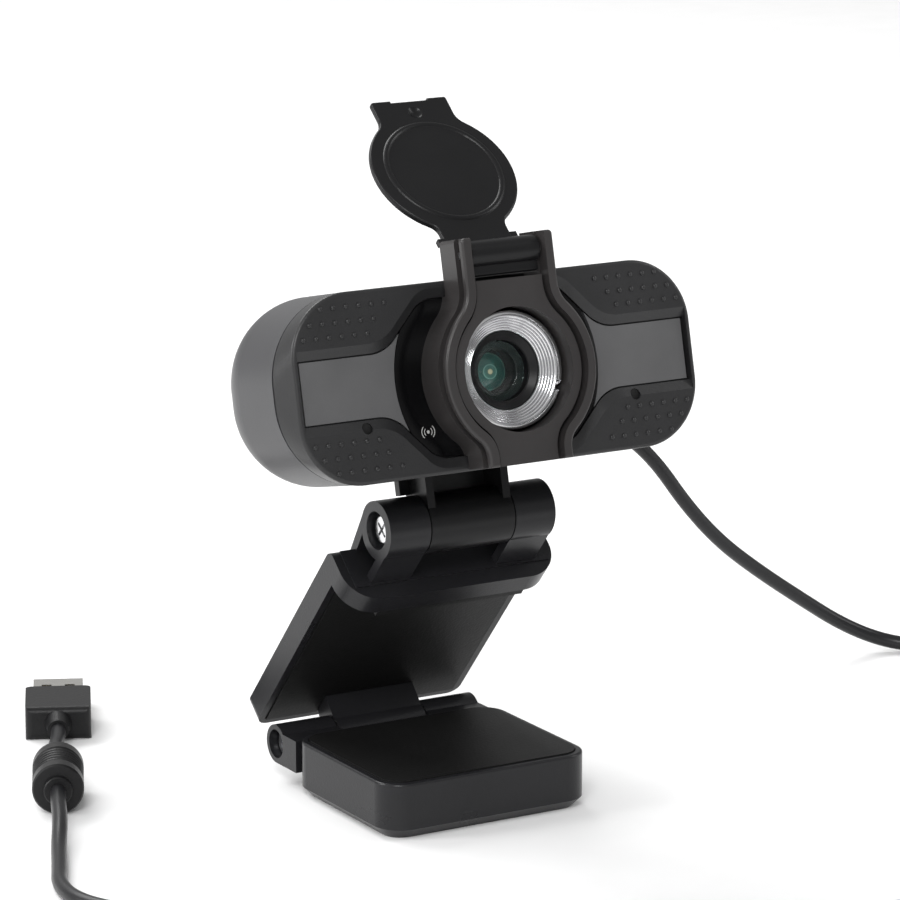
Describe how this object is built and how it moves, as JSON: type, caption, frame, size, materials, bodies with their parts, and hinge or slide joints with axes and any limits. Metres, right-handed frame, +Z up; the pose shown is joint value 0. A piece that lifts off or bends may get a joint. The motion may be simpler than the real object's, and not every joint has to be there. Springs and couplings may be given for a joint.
{
  "type": "webcam with lens cover and monitor clip",
  "caption": "Webcam with a flip-up lens cover and a focus ring, tilting on a fold-out monitor clip that stands on its padded foot, with a USB cable.",
  "frame": {"origin": "mouth of the threaded hole in the middle of the foot's underside, on the desk", "axes": "+Z up, the lens looks along -Y, +X to the right of someone facing the lens"},
  "size_m": [0.2777, 0.2391, 0.1584],
  "materials": {
    "shell_grey": "fine matt grain",
    "face_charcoal": "fine matt grain",
    "panel_grey": "satin",
    "bracket_grey": "satin",
    "gloss_black": "polished",
    "satin_black": "satin",
    "clip_charcoal": "fine matt grain",
    "rubber_black": "matt",
    "bright_metal": "turned and plated",
    "zinc": "zinc plated",
    "brass": "turned",
    "lens_glass": "coated",
    "filter_glass": "coated",
    "board_green": "solder mask",
    "chip_black": "moulded",
    "sensor_glass": "polished",
    "white_plastic": "moulded",
    "clear_plastic": "polished",
    "cable_grey": "extruded sheath",
    "moulding_black": "grained",
    "nickel": "nickel plated",
    "gold": "plated",
    "ferrite": "sintered"
  },
  "bodies": {
    "clip": {"clip_bracket": "clip_charcoal", "leg_pad": "rubber_black", "lip_pad": "rubber_black", "tilt_screw": "bright_metal", "tilt_washer": "zinc", "tilt_nut": "zinc", "cable_drop": "cable_grey", "cable_coil": "cable_grey", "cable_front": "cable_grey", "cable_end": "cable_grey", "ferrite_cover": "moulding_black", "ferrite_core": "ferrite", "plug_overmold": "moulding_black", "plug_shell": "nickel", "plug_tongue": "white_plastic", "plug_contacts": "gold"},
    "foot": {"foot_block": "clip_charcoal", "foot_pad": "rubber_black", "tripod_insert": "brass", "hinge_screw": "zinc", "hinge_nut": "zinc"},
    "head": {"front_housing": "face_charcoal", "rear_shell": "shell_grey", "wing_panel_left": "panel_grey", "wing_panel_right": "panel_grey", "lens_surround": "gloss_black", "cover_bracket": "bracket_grey", "flap_pin": "zinc", "lens_holder": "satin_black", "ir_filter": "filter_glass", "main_board": "board_green", "image_sensor": "sensor_glass", "camera_chip": "chip_black", "board_connector": "white_plastic", "board_posts": "brass", "board_screws": "zinc", "housing_screws": "zinc", "microphone_left": "bright_metal", "microphone_right": "bright_metal", "status_light": "clear_plastic", "status_lamp": "white_plastic", "neck": "satin_black", "cable_gland": "moulding_black", "inner_lead": "cable_grey"},
    "flap": {"cover_flap": "satin_black"},
    "lens": {"focus_ring": "bright_metal", "lens_barrel": "satin_black", "front_lens": "lens_glass", "inner_lens": "lens_glass", "rear_lens": "lens_glass"}
  },
  "joints": [
    {"name": "head_tilt", "type": "hinge", "parent": "clip", "child": "head", "pos_m": [0, -0.00773, 0.06737], "axis": [1, 0, 0], "range_deg": [-40, 60], "deforming": ["cable_drop"]},
    {"name": "foot_fold", "type": "hinge", "parent": "clip", "child": "foot", "pos_m": [0, 0.031, 0.009], "axis": [1, 0, 0], "range_deg": [-38, 120]},
    {"name": "cover_hinge", "type": "hinge", "parent": "head", "child": "flap", "pos_m": [0, -0.02481, 0.13052], "axis": [1, 0, 0], "range_deg": [0, 216]},
    {"name": "focus_turn", "type": "hinge", "parent": "head", "child": "lens", "pos_m": [0, -0.02509, 0.10429], "axis": [0, 0.9738, -0.2275], "range_deg": [-90, 90]}
  ]
}
